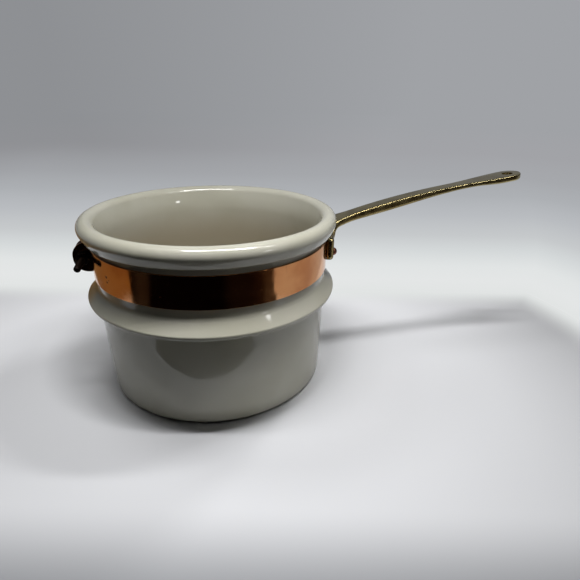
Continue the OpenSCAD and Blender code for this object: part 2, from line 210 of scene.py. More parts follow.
# %% Finish: buffed rolled copper, its colour
copper, tree, surface, mm = new_finish("buffed_rolled_copper", Metallic=1.0)
film = add(tree, "TexNoise", {"Vector": mm, "Scale": 1 / 20, "Detail": 3})
film = add(tree, "MapRange", {0: film, 1: 0.35, 2: 0.68}, **SOFT)
warm = add(tree, "Mix", {0: film, 6: linear("#dca272"), 7: linear("#c8885a")}, **COLOUR)
run_down = add(tree, "Mapping", {0: mm, "Scale": (1, 1, 0.3)})
stain = add(tree, "TexNoise", {"Vector": run_down, "Scale": 1 / 3.2, "Detail": 4, "Roughness": 0.6})
stain = add(tree, "MapRange", {0: stain, 1: 0.62, 2: 0.76, 3: 0, 4: 0.5}, **SOFT)
warm = add(tree, "Mix", {0: stain, 6: warm, 7: linear("#8a5230")}, **COLOUR)
cells = add(tree, "TexVoronoi", {"Vector": mm, "Scale": 1 / 5.5}, feature="F1")
rare = add(tree, "MapRange", {0: cells.outputs["Color"], 1: 0.70, 2: 0.71}, **SOFT)
dot = add(tree, "MapRange", {0: cells.outputs["Distance"], 1: 0.04, 2: 0.09, 3: 1, 4: 0}, **SOFT)
spots = add(tree, "Math", {0: rare, 1: dot}, operation="MULTIPLY")
# Three drops dried beside the clamp: where each one is, and its radius
DROPS = (((-61.8, -41.7, 86.0), 0.85), ((-61.7, -41.8, 83.0), 0.7), ((-60.4, -43.6, 84.6), 0.4))
for place, size in DROPS:
    apart = add(tree, "VectorMath", {0: mm, 1: place}, operation="DISTANCE")
    drop = add(tree, "MapRange", {0: apart, 1: size * 0.6, 2: size * 1.3, 3: 0.9, 4: 0}, **SOFT)
    spots = add(tree, "Math", {0: spots, 1: drop}, operation="MAXIMUM")
warm = add(tree, "Mix", {0: spots, 6: warm, 7: linear("#3a1a0c")}, **COLOUR)
print("copper colour nodes", len(tree.nodes))

# %% [markdown]
# Hair lines from the polishing cloth run along the band. They are noise that is long round the
# band and 0.25 mm high. The sheet itself was never quite flat, so a slow swell of 22 mm bends
# what it mirrors, and a dried spot is dull.

# %% Finish: buffed rolled copper, its surface
haze = add(tree, "TexNoise", {"Vector": mm, "Scale": 1 / 6, "Detail": 4, "Roughness": 0.6})
haze = add(tree, "MapRange", {0: haze, 1: 0.3, 2: 0.75, 3: 0.07, 4: 0.17}, **SOFT)
haze = add(tree, "Math", {0: haze, 1: spots}, operation="MAXIMUM")
swell = add(tree, "TexNoise", {"Vector": mm, "Scale": 1 / 22, "Detail": 0})
swell = add(tree, "Bump", {"Height": swell, "Distance": 0.05 * MM})
lengthwise = add(tree, "Mapping", {0: mm, "Scale": (0.05, 0.05, 4)})
lines = add(tree, "TexNoise", {"Vector": lengthwise, "Scale": 1, "Detail": 3, "Roughness": 0.7})
lines = add(tree, "Bump", {"Height": lines, "Distance": 0.0012 * MM, "Normal": swell})
feed(tree, surface, {"Base Color": warm, "Roughness": haze, "Normal": lines})
print("copper nodes", len(tree.nodes))

# %% [markdown]
# ## Cast brass with years of patina
# The handle was sand cast, fettled on a belt and polished once. Age has turned the flat top
# olive with darker spots, and hands have rubbed the arrises bright. Where an edge is rubbed
# comes from the mesh itself: Pointiness is high on what stands out.

# %% Finish: sand-cast brass, its colour
brass, tree, surface, mm = new_finish("aged_sand_cast_brass", Metallic=1.0)
aged = add(tree, "TexNoise", {"Vector": mm, "Scale": 1 / 14, "Detail": 4, "Roughness": 0.6})
aged = add(tree, "MapRange", {0: aged, 1: 0.35, 2: 0.7}, **SOFT)
olive = add(tree, "Mix", {0: aged, 6: linear("#a3966c"), 7: linear("#85764e")}, **COLOUR)
spots = add(tree, "TexNoise", {"Vector": mm, "Scale": 1 / 1.8, "Detail": 4, "Roughness": 0.65})
spots = add(tree, "MapRange", {0: spots, 1: 0.6, 2: 0.75, 3: 0, 4: 0.55}, **SOFT)
olive = add(tree, "Mix", {0: spots, 6: olive, 7: linear("#554a34")}, **COLOUR)
rubbed = add(tree, "MapRange", {0: add(tree, "NewGeometry").outputs["Pointiness"], 1: 0.53, 2: 0.62}, **SOFT)
olive = add(tree, "Mix", {0: rubbed, 6: olive, 7: linear("#dccfb0")}, **COLOUR)
print("brass colour nodes", len(tree.nodes))

# %% [markdown]
# The sand left a grain of 0.9 mm, and the belt left marks across the arm, 0.3 mm apart. Both
# are under a thousandth of a millimetre deep, since more would break up the bright line that
# runs along the arris.

# %% Finish: sand-cast brass, its surface
polish = add(tree, "TexNoise", {"Vector": mm, "Scale": 1 / 5, "Detail": 4})
polish = add(tree, "MapRange", {0: polish, 1: 0.3, 2: 0.7, 3: 0.17, 4: 0.28}, **SOFT)
sand = add(tree, "TexNoise", {"Vector": mm, "Scale": 1 / 0.9, "Detail": 3, "Roughness": 0.6})
sand = add(tree, "Bump", {"Height": sand, "Distance": 0.0006 * MM})
crosswise = add(tree, "Mapping", {0: mm, "Scale": (3, 0.15, 0.15)})
marks = add(tree, "TexNoise", {"Vector": crosswise, "Scale": 1, "Detail": 2, "Roughness": 0.6})
marks = add(tree, "Bump", {"Height": marks, "Distance": 0.0003 * MM, "Normal": sand})
feed(tree, surface, {"Base Color": olive, "Roughness": polish, "Normal": marks})
print("brass nodes", len(tree.nodes))

# %% [markdown]
# ## Hammered copper rivets
# The rivets are soft copper, headed cold with a hammer, and dulled to a mauve brown. The flats
# of the hammer are in the mesh, so the finish only adds the unevenness between them.

# %% Finish: hammered dull copper
hammered, tree, surface, mm = new_finish("hammered_dull_copper", Metallic=1.0, Roughness=0.34)
dull = add(tree, "TexNoise", {"Vector": mm, "Scale": 1 / 2.5, "Detail": 3})
dull = add(tree, "MapRange", {0: dull, 1: 0.35, 2: 0.65}, **SOFT)
dull = add(tree, "Mix", {0: dull, 6: linear("#8c5a46"), 7: linear("#6a4036")}, **COLOUR)
dents = add(tree, "TexNoise", {"Vector": mm, "Scale": 1 / 1.2, "Detail": 2})
dents = add(tree, "Bump", {"Height": dents, "Distance": 0.05 * MM})
feed(tree, surface, {"Base Color": dull, "Normal": dents})
print("rivet nodes", len(tree.nodes))

# %% [markdown]
# ## The nearly black clamp
# The clamp's screw, washer and nut are turned brass, coloured a nearly black brown, half dull,
# with a little brown metal showing on the corners.

# %% Finish: nearly black turned brass
black, tree, surface, mm = new_finish("near_black_turned_brass", Metallic=0.8)
film = add(tree, "TexNoise", {"Vector": mm, "Scale": 1 / 1.6, "Detail": 4, "Roughness": 0.6})
film = add(tree, "MapRange", {0: film, 1: 0.4, 2: 0.7}, **SOFT)
film = add(tree, "Mix", {0: film, 6: linear("#211813"), 7: linear("#0f0b09")}, **COLOUR)
edge = add(tree, "NewGeometry").outputs["Pointiness"]
edge = add(tree, "MapRange", {0: edge, 1: 0.56, 2: 0.68, 3: 0, 4: 0.5}, **SOFT)
film = add(tree, "Mix", {0: edge, 6: film, 7: linear("#5c3e2c")}, **COLOUR)
dulled = add(tree, "TexNoise", {"Vector": mm, "Scale": 1 / 0.8, "Detail": 3})
dulled = add(tree, "MapRange", {0: dulled, 1: 0.3, 2: 0.7, 3: 0.3, 4: 0.55}, **SOFT)
crust = add(tree, "TexNoise", {"Vector": mm, "Scale": 1 / 0.5, "Detail": 2})
crust = add(tree, "Bump", {"Height": crust, "Distance": 0.01 * MM})
feed(tree, surface, {"Base Color": film, "Roughness": dulled, "Normal": crust})
print("clamp nodes", len(tree.nodes))

# %% [markdown]
# ## The porcelain vessel
# On the real pan a template shapes the wall while the clay spins. Here a profile is drawn from
# a few points: a straight run adds a vertex, and a rounding spins the last vertex about its
# centre. The whole profile is then spun once round Z. A list of points would give the same
# outline, but a rounding that is a real arc stays round when its radius is changed.


# %% Draw profiles and spin them
def newest_vert(spun):
    """The vertex that a spin of one vertex ends on."""
    return [g for g in spun["geom_last"] if isinstance(g, bmesh.types.BMVert)][0]


def run(bm, last, x, z):
    """A straight run of the profile, from the last vertex to x, z."""
    vert = bm.verts.new((x, 0, z))
    bm.edges.new((last, vert))
    return vert


def rounding(bm, last, centre, radius, start, end, steps):
    """Runs to the start of an arc in the plane Y = 0, then spins that vertex round to its end."""
    a = math.radians(start)
    vert = run(bm, last, centre[0] + radius * math.cos(a), centre[1] + radius * math.sin(a))
    return newest_vert(bmesh.ops.spin(bm, geom=[vert], cent=(centre[0], 0, centre[1]), axis=(0, -1, 0),
        dvec=(0, 0, 0), angle=math.radians(end - start), steps=steps, use_duplicate=False))


def turn_on_lathe(bm, steps):
    """Spins everything once round Z, and closes the seam and the poles."""
    bmesh.ops.spin(bm, geom=bm.verts[:] + bm.edges[:], cent=(0, 0, 0), axis=(0, 0, 1), dvec=(0, 0, 0),
        angle=math.tau, steps=steps, use_merge=True, use_duplicate=False)
    bmesh.ops.remove_doubles(bm, verts=bm.verts, dist=1e-4)
    bmesh.ops.recalc_face_normals(bm, faces=bm.faces)


# %% [markdown]
# The profile goes up the outside: the base's edge, the wall with its slight draft, the shoulder
# that the lower pan carries, the neck, the skirt under the rim, and the rolled rim. Then it goes
# down the inside, over a flare, to a broad corner and the floor. The shoulder's slope is flatter
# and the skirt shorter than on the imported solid, as the photograph shows them.

# %% Draw the vessel's profile
BASE_R, BASE_ROUND, DRAFT = 72.3, 1.6, 1.8
WALL_TOP = (74.06, 57.925)
SHOULDER_R, SHOULDER_Z, SHOULDER_LOW, SHOULDER_TOP, SHOULDER_SLOPE = 80.15, 62.5, 3.0, 1.2, 47
NECK_R, COVE_Z, COVE = 73.2, 71.24, 4.0
SKIRT_X, SKIRT_Z, SKIRT_IN, SKIRT_ROUND, SKIRT_SLOPE = 76.5, 99.5, 1.4, 1.5, -24.7
RIM_R, RIM_TOP, ROLL_R, ROLL_END = 80, 111, 4.9, 165.2
FLARE_LOW = (68, 98.4)
INSIDE_R, FLOOR_Z, INSIDE_ROUND = 66.9, 6.5, 9
bm = bmesh.new()
v = bm.verts.new((0, 0, 0))
v = rounding(bm, v, (BASE_R - BASE_ROUND, BASE_ROUND), BASE_ROUND, -90, -DRAFT, 8)
under = v = run(bm, v, *WALL_TOP)
v = rounding(bm, v, (SHOULDER_R - SHOULDER_LOW, SHOULDER_Z), SHOULDER_LOW, -90, 0, 12)
v = rounding(bm, v, (SHOULDER_R - SHOULDER_TOP, SHOULDER_Z), SHOULDER_TOP, 0, SHOULDER_SLOPE, 6)
v = rounding(bm, v, (NECK_R + COVE, COVE_Z), COVE, 180 + SHOULDER_SLOPE, 180, 8)
v = rounding(bm, v, (NECK_R + SKIRT_IN, SKIRT_Z - SKIRT_IN), SKIRT_IN, 180, 90, 8)
v = rounding(bm, v, (SKIRT_X, SKIRT_Z + SKIRT_ROUND), SKIRT_ROUND, -90, SKIRT_SLOPE, 6)
v = rounding(bm, v, (RIM_R - ROLL_R, RIM_TOP - ROLL_R), ROLL_R, SKIRT_SLOPE, ROLL_END, 34)
flare = v = run(bm, v, *FLARE_LOW)
v = rounding(bm, v, (INSIDE_R - INSIDE_ROUND, FLOOR_Z + INSIDE_ROUND), INSIDE_ROUND, 0, -90, 12)
run(bm, v, 0, FLOOR_Z)
print("profile", len(bm.edges), "edges")

# %% [markdown]
# Clay has no sharp inner corners, so two of the profile's corners are rounded before it is
# turned. A cast and fired wall is never quite round either. The neck stays true, because the
# band sits there, and the wall drifts by a tenth of a millimetre above and below it.

# %% Turn the vessel
UNDER_ROUND, FLARE_ROUND = 0.9, 5.0
LONG_EDGE = 15
OVAL, THREE_SIDED, MEAN_R = 0.10, 0.05, 75
TRUE_Z, TRUE_HALF, TRUE_EASE = 77, 20, 10
for vert, size in ((under, UNDER_ROUND), (flare, FLARE_ROUND)):
    bmesh.ops.bevel(bm, geom=[vert], offset=size, affect="VERTICES", segments=6, profile=0.5, material=-1)
long_edges = [e for e in bm.edges if e.calc_length() > LONG_EDGE]
bmesh.ops.subdivide_edges(bm, edges=long_edges, cuts=7)
turn_on_lathe(bm, 240)
for vert in bm.verts:
    angle = math.atan2(vert.co.y, vert.co.x)
    off = OVAL * math.sin(2 * angle + 0.7) + THREE_SIDED * math.sin(3 * angle + 2.1 + vert.co.z / 30)
    free = min(max((abs(vert.co.z - TRUE_Z) - TRUE_HALF) / TRUE_EASE, 0), 1)
    swell = 1 + off / MEAN_R * free
    vert.co.x *= swell
    vert.co.y *= swell
piece(bm, "glazed_vessel", glaze, "pan", "porcelain_body")

# %% [markdown]
# ## The copper band
# On a bench a strip is bent round a drum, and its ends are folded out over a block. Here one
# vertex walks the same way: out of one ear, round its bend, round the drum, and into the other
# ear. The line is raised to the strip's width, and a Solidify modifier gives the sheet its gauge.

# %% Bend the strip
BAND_LOW, BAND_WIDE = 76.0, 19.0
EAR_FACE, EAR_END = 4.6, -85.3
BEND_X, BEND_Y = -75.292, 5.6
bm = bmesh.new()
first = bm.verts.new((EAR_END, EAR_FACE, BAND_LOW))
v = bm.verts.new((BEND_X, EAR_FACE, BAND_LOW))
bm.edges.new((first, v))
lean = math.atan2(BEND_Y, -BEND_X)
bends = (((BEND_X, BEND_Y), math.pi / 2 - lean, 6), ((0, 0), -(math.tau - 2 * lean), 264),
    ((BEND_X, -BEND_Y), math.pi / 2 - lean, 6))
for (x, y), angle, steps in bends:
    v = newest_vert(bmesh.ops.spin(bm, geom=[v], cent=(x, y, BAND_LOW), axis=(0, 0, 1), dvec=(0, 0, 0),
        angle=angle, steps=steps, use_duplicate=False))
last = bm.verts.new((EAR_END, -EAR_FACE, BAND_LOW))
bm.edges.new((v, last))
raised = bmesh.ops.extrude_edge_only(bm, edges=bm.edges[:])
top = [g for g in raised["geom"] if isinstance(g, bmesh.types.BMVert)]
bmesh.ops.translate(bm, verts=top, vec=(0, 0, BAND_WIDE))
print("strip", len(bm.faces), "faces, ends at", first.co, last.co)

# %% [markdown]
# The ears' outer corners are rounded, so that they don't catch a cloth, and each ear is drilled
# for the screw. Bevelling a corner vertex rounds the sheet there. For the hole the ear's face
# is taken out, and the rim that is left is bridged to a circle, which is cleaner than a cut.

# %% Round and drill the ears
SCREW_X, SCREW_Z, SCREW_HOLE_R = -79.4335, 85.5, 2.05
EAR_MIDDLE_X, EAR_ROUND = -81, 8.5
bm.verts.ensure_lookup_table()
corners = [v for v in bm.verts if v.co.x < EAR_END + 0.1]
bmesh.ops.bevel(bm, geom=corners, offset=EAR_ROUND, affect="VERTICES", segments=10, profile=0.5, material=-1)
for side in (1, -1):
    middle = Vector((EAR_MIDDLE_X, side * EAR_FACE, SCREW_Z))
    ear = min(bm.faces, key=lambda f: (f.calc_center_median() - middle).length)
    outline = ear.edges[:]
    bmesh.ops.delete(bm, geom=[ear], context="FACES_ONLY")
    spot = Matrix.Translation((SCREW_X, side * EAR_FACE, SCREW_Z)) @ Matrix.Rotation(math.pi / 2, 4, "X")
    hole = bmesh.ops.create_circle(bm, segments=28, radius=SCREW_HOLE_R, matrix=spot)["verts"]
    ring = list({e for v in hole for e in v.link_edges})
    bmesh.ops.bridge_loops(bm, edges=outline + ring)
print("ears", len(bm.faces), "faces")

# %% [markdown]
# The sheet's faces have to look outwards before it gets its gauge, because Solidify thickens
# towards the inside. A small bevel then breaks the edges, as a file does on cut sheet.

# %% Give the strip its gauge
GAUGE, BROKEN_EDGE = 1.2, 0.22
bmesh.ops.recalc_face_normals(bm, faces=bm.faces)
front = min(bm.faces, key=lambda f: f.calc_center_median().y)
if front.normal.y > 0:
    bmesh.ops.reverse_faces(bm, faces=bm.faces)
band = piece(bm, "copper_strip", copper, "pan", "copper_band")
gauge = band.modifiers.new("gauge", "SOLIDIFY")
gauge.thickness, gauge.offset, gauge.use_even_offset = GAUGE * MM, -1, True
broken = band.modifiers.new("broken_edges", "BEVEL")
broken.width, broken.segments, broken.harden_normals = BROKEN_EDGE * MM, 3, True
broken.limit_method, broken.angle_limit = "ANGLE", math.radians(50)
print("band box", [round(c / MM, 1) for c in band.dimensions])

# %% [markdown]
# ## The handle's arm
# A founder's pattern is carved along a centre line: its width and depth swell and shrink, and
# the section stays the same kind, flat on top with a rounded belly. So it is a loft. The line is
# a leg, a tight bend, a long arch and a straight end, and every arc is met at its slope.


# %% The arm's line
def beyond(centre, radius, slope):
    """The point of an arc where its line has that slope."""
    return centre + radius * Vector((-math.sin(slope), math.cos(slope)))


ROOT, ROOT_R, ARCH_R = Vector((84.5, 100.9)), 9.0, 552.0
LEG_SLOPE, ROOT_SLOPE, TIP_SLOPE = (math.radians(a) for a in (80, 17.2, 8.8))
arch_centre = ROOT - beyond(Vector((0, 0)), ARCH_R, ROOT_SLOPE)
bend_centre = ROOT - beyond(Vector((0, 0)), ROOT_R, ROOT_SLOPE)
arch_end = beyond(arch_centre, ARCH_R, TIP_SLOPE)
leg_top = beyond(bend_centre, ROOT_R, LEG_SLOPE)
print("the bend goes from", leg_top, "to", ROOT, "and the arch ends at", arch_end)

# %% [markdown]
# The width and the depth are given at a few shares of the arm's length, as a pattern maker
# marks them on the blank, and they ease from one mark to the next.

# %% The arm's width and depth
REACH, END_WIDE = 225.4, 17.8
ROOT_WIDE, GRIP_WIDE, WAIST_WIDE, TAPER_SHARE = 16, 11.5, 10.5, 0.1
WIDTHS = ((TAPER_SHARE, GRIP_WIDE), (0.54, WAIST_WIDE), (0.61, WAIST_WIDE), (0.92, END_WIDE))
ROOT_DEEP = 5.0
DEPTHS = ((0, ROOT_DEEP), (0.26, 6.1), (0.74, 3.4), (0.87, 4.4))


def through(table, share):
    """A value that eases through a table of share and value."""
    for (a, low), (b, high) in zip(table, table[1:]):
        if share < b:
            t = min(max((share - a) / (b - a), 0), 1)
            return low + (high - low) * t * t * (3 - 2 * t)
    return table[-1][1]


def arm_station(x):
    """(point, slope, width, depth) of the arm at x."""
    share = (x - ROOT.x) / (REACH - ROOT.x)
    if x < arch_end.x:
        slope = math.asin((arch_centre.x - x) / ARCH_R)
        point = beyond(arch_centre, ARCH_R, slope)
    else:
        slope = TIP_SLOPE
        point = Vector((x, arch_end.y + (x - arch_end.x) * math.tan(slope)))
    wide = through(WIDTHS, share)
    if share < TAPER_SHARE:
        wide = GRIP_WIDE + (ROOT_WIDE - GRIP_WIDE) * (1 - share / TAPER_SHARE) ** 2
    return point, slope, wide, through(DEPTHS, share)


print("half way along, width and depth are", arm_station((ROOT.x + REACH) / 2)[2:])

# %% [markdown]
# The stations follow the line from the leg's lower end to the round tip. The leg fans out where
# it grows out of the foot, and the tip is a half circle seen from above, thinned at its edge.

# %% Lay out the stations
LEG_LONG, LEG_WIDE, BEND_WIDE, LEG_DEEP = 10.5, 24, 20, 4
TIP_X = REACH - END_WIDE / 2
# The tip's last loop stops short of the pole, so that it is still a loop to bridge
TIP_TURN, TIP_THIN = math.radians(88), 0.35
stations = []
for i in range(8):
    t = i / 8
    point = leg_top - (1 - t) * LEG_LONG * Vector((math.cos(LEG_SLOPE), math.sin(LEG_SLOPE)))
    deep = LEG_DEEP * (0.4 + 0.6 * math.sin(math.pi / 2 * t))
    stations.append((point, LEG_SLOPE, LEG_WIDE + (BEND_WIDE - LEG_WIDE) * t, deep))
for i in range(12):
    t = i / 12
    slope = LEG_SLOPE + (ROOT_SLOPE - LEG_SLOPE) * t
    wide, deep = BEND_WIDE + (ROOT_WIDE - BEND_WIDE) * t, LEG_DEEP + (ROOT_DEEP - LEG_DEEP) * t
    stations.append((beyond(bend_centre, ROOT_R, slope), slope, wide, deep))
stations += [arm_station(ROOT.x + (TIP_X - ROOT.x) * i / 96) for i in range(96)]
for i in range(17):
    a = TIP_TURN * i / 16
    point, slope, wide, deep = arm_station(TIP_X + END_WIDE / 2 * math.sin(a))
    full = 1 - TIP_THIN * (1 - math.sqrt(math.cos(a)))
    stations.append((point, slope, END_WIDE * math.cos(a), deep * full))
print(len(stations), "stations, from", stations[0][0], "to", stations[-1][0])

# %% [markdown]
# The section has three parts on each side: the rounded arris between the flat top and the side,
# a short upright side that catches no light, and a quarter of an oval down to the belly. A
# circle of vertices is laid out as the section at each station, and the loops are bridged.

# %% Loft the arm
ARRIS, BELLY, SIDE_SHARE = 0.7, 2.6, 0.62


def half_section(wide, deep):
    """(sideways, down) from the middle of the top round to the middle of the belly."""
    h = wide / 2
    arris, belly, side = min(ARRIS, h / 4), min(BELLY, h / 2), deep * SIDE_SHARE
    turns = [math.radians(22.5 * i) for i in range(5)]
    points = [(h / 2, 0)]
    points += [(h - arris * (1 - math.sin(a)), arris * (1 - math.cos(a))) for a in turns]
    turns = [math.radians(11.25 * i) for i in range(9)]
    points += [(h - belly * (1 - math.cos(a)), side + (deep - side) * math.sin(a)) for a in turns]
    return points


bm = bmesh.new()
loops = []
for point, slope, wide, deep in stations:
    half = half_section(wide, deep)
    section = half + [(-s, d) for s, d in reversed(half)]
    loop = bmesh.ops.create_circle(bm, segments=len(section), radius=1)["verts"]
    for vert, (sideways, down) in zip(loop, section):
        vert.co = (point.x + down * math.sin(slope), sideways, point.y - down * math.cos(slope))
    loops.append(loop)
for a, b in zip(loops, loops[1:]):
    edges = [e for e in {e for v in a + b for e in v.link_edges} if len(e.link_faces) < 2
        and (e.verts[0] in a) == (e.verts[1] in a)]
    bmesh.ops.bridge_loops(bm, edges=edges)
bmesh.ops.holes_fill(bm, edges=bm.edges, sides=0)
bmesh.ops.recalc_face_normals(bm, faces=bm.faces)
print("arm", len(bm.faces), "faces, open edges", sum(e.is_boundary for e in bm.edges))

# %% [markdown]
# ## Cutting one shape by another
# Two shapes of one casting meet in lines that no loft follows, and a drilled hole cuts through
# whatever is there. So shapes are joined and cut by Boolean modifiers with the exact solver, and
# only the result is kept.


# %% Shapes from a bmesh, and cutting them
def shape(bm):
    """A scratch object from a bmesh, for a cut."""
    mesh = bpy.data.meshes.new("shape")
    bm.to_mesh(mesh)
    bm.free()
    obj = bpy.data.objects.new("shape", mesh)
    bpy.context.scene.collection.objects.link(obj)
    return obj


def combine(base, *steps):
    """Joins or cuts a shape by others, each (operation, shape), and gives a bmesh of the result."""
    for operation, other in steps:
        cut = base.modifiers.new("cut", "BOOLEAN")
        cut.operation, cut.object, cut.solver = operation, other, "EXACT"
    graph = bpy.context.evaluated_depsgraph_get()
    bm = bmesh.new()
    bm.from_mesh(base.evaluated_get(graph).to_mesh())
    for obj in [base] + [other for _, other in steps]:
        bpy.data.objects.remove(obj)
    return bm


def drill(matrix, radius, length, segments=40):
    """A round cutter along its own Z, centred at the matrix."""
    bm = bmesh.new()
    bmesh.ops.create_cone(bm, cap_ends=True, segments=segments, radius1=radius, radius2=radius,
        depth=length, matrix=matrix)
    return shape(bm)


# %% [markdown]
# ## The handle's foot
# The foot is a rounded bar that hugs the band over 44 degrees: a small face, spun round the
# pan's axis. Its outer corners are rounded before the spin and its two ends after it, because a
# bevel round a whole curved bar would be far more work for the same edge.

# %% Bend the foot
arm = shape(bm)
FOOT_IN, FOOT_OUT, FOOT_LOW, FOOT_HIGH = 74.55, 79.25, 80.8, 95.4
FOOT_ARC, FOOT_CORNER, FOOT_END = math.radians(44), 2.3, 2.15
bm = bmesh.new()
corners = [bm.verts.new(c) for c in ((FOOT_IN, 0, FOOT_LOW), (FOOT_OUT, 0, FOOT_LOW),
    (FOOT_OUT, 0, FOOT_HIGH), (FOOT_IN, 0, FOOT_HIGH))]
bm.faces.new(corners)
bmesh.ops.bevel(bm, geom=corners[1:3], offset=FOOT_CORNER, affect="VERTICES", segments=8, profile=0.5,
    material=-1)
bmesh.ops.rotate(bm, verts=bm.verts, cent=(0, 0, 0), matrix=Matrix.Rotation(-FOOT_ARC / 2, 3, "Z"))
bmesh.ops.spin(bm, geom=bm.verts[:] + bm.edges[:] + bm.faces[:], cent=(0, 0, 0), axis=(0, 0, 1),
    dvec=(0, 0, 0), angle=FOOT_ARC, steps=44, use_duplicate=False)
bmesh.ops.recalc_face_normals(bm, faces=bm.faces)
ends = [f for f in bm.faces if len(f.verts) > 4]
bmesh.ops.bevel(bm, geom=list({e for f in ends for e in f.edges}), offset=FOOT_END, affect="EDGES",
    segments=6, profile=0.5, material=-1)
print("foot", len(bm.faces), "faces, open edges", sum(e.is_boundary for e in bm.edges))
foot = shape(bm)

# %% [markdown]
# ## One casting out of two shapes
# The arm is trimmed where it would reach into the band, the foot is joined to it, and the
# hanging hole and the two rivet holes are drilled, in the order that a foundry would do it.

# %% Join and drill the casting
RIVET_ANGLE, RIVET_Z, RIVET_HOLE_R, RIVET_HOLE_X = math.radians(17.0836), 84.9, 1.65, 77
TRIM_Z, TRIM_HIGH, TRIM_ROOM = 88, 14.6, 0.05
HANG_Z, HANG_R = 127.33, 3.75


def at_rivet(side, reach):
    """A place on a rivet's axis, with Z outwards, at that distance from the pan's axis."""
    return (Matrix.Rotation(side * RIVET_ANGLE, 4, "Z") @ Matrix.Translation((reach, 0, RIVET_Z))
        @ Matrix.Rotation(math.pi / 2, 4, "Y"))


hang = Matrix.Translation((TIP_X, 0, HANG_Z)) @ Matrix.Rotation(-TIP_SLOPE, 4, "Y")
bm = combine(arm,
    ("DIFFERENCE", drill(Matrix.Translation((0, 0, TRIM_Z)), FOOT_IN + TRIM_ROOM, TRIM_HIGH, 240)),
    ("UNION", foot),
    ("DIFFERENCE", drill(hang, HANG_R, 14)),
    ("DIFFERENCE", drill(at_rivet(1, RIVET_HOLE_X), RIVET_HOLE_R, 9)),
    ("DIFFERENCE", drill(at_rivet(-1, RIVET_HOLE_X), RIVET_HOLE_R, 9)))
bmesh.ops.remove_doubles(bm, verts=bm.verts, dist=0.002)
print("casting", len(bm.faces), "faces, open edges", sum(e.is_boundary for e in bm.edges))
handle = piece(bm, "cast_handle", brass, "pan", "brass_handle")

# %% [markdown]
# ## Rivets
# A rivet starts as a pin with a flush head inside the band. Its other end is hammered into a
# dome against the foot. A half section is drawn and turned, and the dome then gets the small
# flats that a hammer leaves, from noise that is the same on every run.

# %% Head the two rivets
# Radius and reach of the pin's corners, from its flush head to the face of the foot
PIN = ((2.35, 73.35), (1.6, 74.05), (1.6, 79.2), (2.5, 79.2))
DOME_R, DOME_HIGH, DOME_SEAT, DOME_EDGE = 2.6, 2.3, 79.25, 79.3
FLAT_DEEP, LEAN_OVER = 0.16, 0.05
ball = (DOME_R ** 2 + DOME_HIGH ** 2) / (2 * DOME_HIGH)
low = math.degrees(math.asin((ball - DOME_HIGH) / ball))
for end, side in (("front", -1), ("back", 1)):
    bm = bmesh.new()
    v = bm.verts.new((0, 0, PIN[0][1]))
    for x, z in PIN:
        v = run(bm, v, x, z)
    rounding(bm, v, (0, DOME_SEAT + DOME_HIGH - ball), ball, low, 90, 10)
    turn_on_lathe(bm, 40)
    for vert in bm.verts:
        above = vert.co.z - DOME_EDGE
        if above > 0:
            knock = noise.noise(vert.co * 0.7 + Vector((7 * side, 0, 0)))
            vert.co.z += FLAT_DEEP * min(knock, 0) * above
            vert.co.x += LEAN_OVER * noise.noise(vert.co * 0.5)
    bmesh.ops.transform(bm, verts=bm.verts, matrix=at_rivet(side, 0))
    piece(bm, "rivet_" + end, hammered, "pan", "handle_rivet_" + end)

# %% [markdown]
# ## The clamp screw
# A machine screw is turned from bar, and its domed head gets its slot from a saw. So a half
# section is drawn from the head down to the chamfered end and turned, and a thin bar cuts the
# slot. The screw is made along Z and laid into its hole at the end.

# %% Turn and slot the screw
HEAD_SEAT, HEAD_R, HEAD_HIGH, HEAD_EDGE_R = -4.65, 3.8, 2.8, 3.7
NECK_UNDER_R, CORE_R, END_R, SCREW_END = 2.0, 1.62, 1.2, 26.05
SLOT_WIDE, SLOT_DEEP, SLOT_LONG = 1.1, 1.2, 9
ball = (HEAD_R ** 2 + HEAD_HIGH ** 2) / (2 * HEAD_HIGH)
low = math.degrees(math.asin((ball - HEAD_HIGH) / ball))
head_top = HEAD_SEAT - HEAD_HIGH
bm = bmesh.new()
v = bm.verts.new((0, 0, head_top))
v = rounding(bm, v, (0, head_top + ball), ball, -90, -low, 12)
for x, z in ((HEAD_EDGE_R, HEAD_SEAT), (NECK_UNDER_R, HEAD_SEAT), (NECK_UNDER_R, HEAD_SEAT + 1),
        (CORE_R, HEAD_SEAT + 1.4), (CORE_R, SCREW_END - 0.5), (END_R, SCREW_END), (0, SCREW_END)):
    v = run(bm, v, x, z)
turn_on_lathe(bm, 48)
saw = bmesh.new()
blade = Matrix.Diagonal((SLOT_LONG, SLOT_WIDE, 2, 1))
bmesh.ops.create_cube(saw, size=1, matrix=Matrix.Translation((0, 0, head_top + SLOT_DEEP - 1)) @ blade)
bm = combine(shape(bm), ("DIFFERENCE", shape(saw)))
print("screw", len(bm.faces), "faces")

# %% [markdown]
# A thread is rolled into the bar. Here it is a small four-sided section that is spun along the
# shank and rises by one pitch a turn, sunk a little into the core. A Screw modifier would do the
# same, but the spin gives the finished mesh at once.

